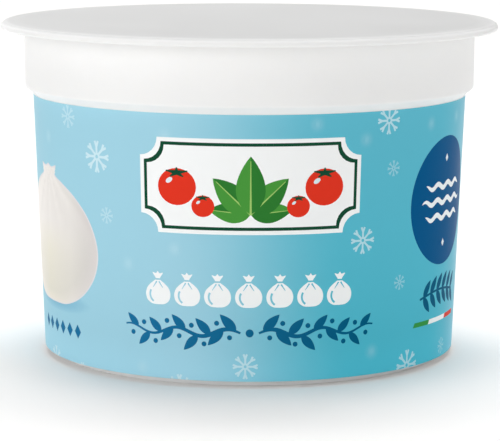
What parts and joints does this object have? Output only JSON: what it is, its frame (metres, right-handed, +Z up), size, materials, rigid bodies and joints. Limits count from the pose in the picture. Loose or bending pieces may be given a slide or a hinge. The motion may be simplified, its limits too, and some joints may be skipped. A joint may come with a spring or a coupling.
{
  "type": "sealed plastic cheese tub",
  "caption": "Round white dairy tub with a wide sealing flange, straight collar, tapering body in a pale blue printed label, shut with a plain film.",
  "frame": {"origin": "centre of the base, level with the foot ring it stands on", "axes": "+Z up along the tub's axis; the front of the label faces -Y and its ends meet at +Y"},
  "size_m": [0.0954, 0.0954, 0.064],
  "materials": {
    "tub_plastic": "smooth white moulded polypropylene, satin",
    "lidding_film": "plain white heat-sealed film, satin",
    "label_print": "pale blue to teal printed film label, matt to satin"
  },
  "bodies": {
    "root": {"tub": "tub_plastic", "lidding_film": "lidding_film", "label": "label_print"}
  },
  "joints": []
}
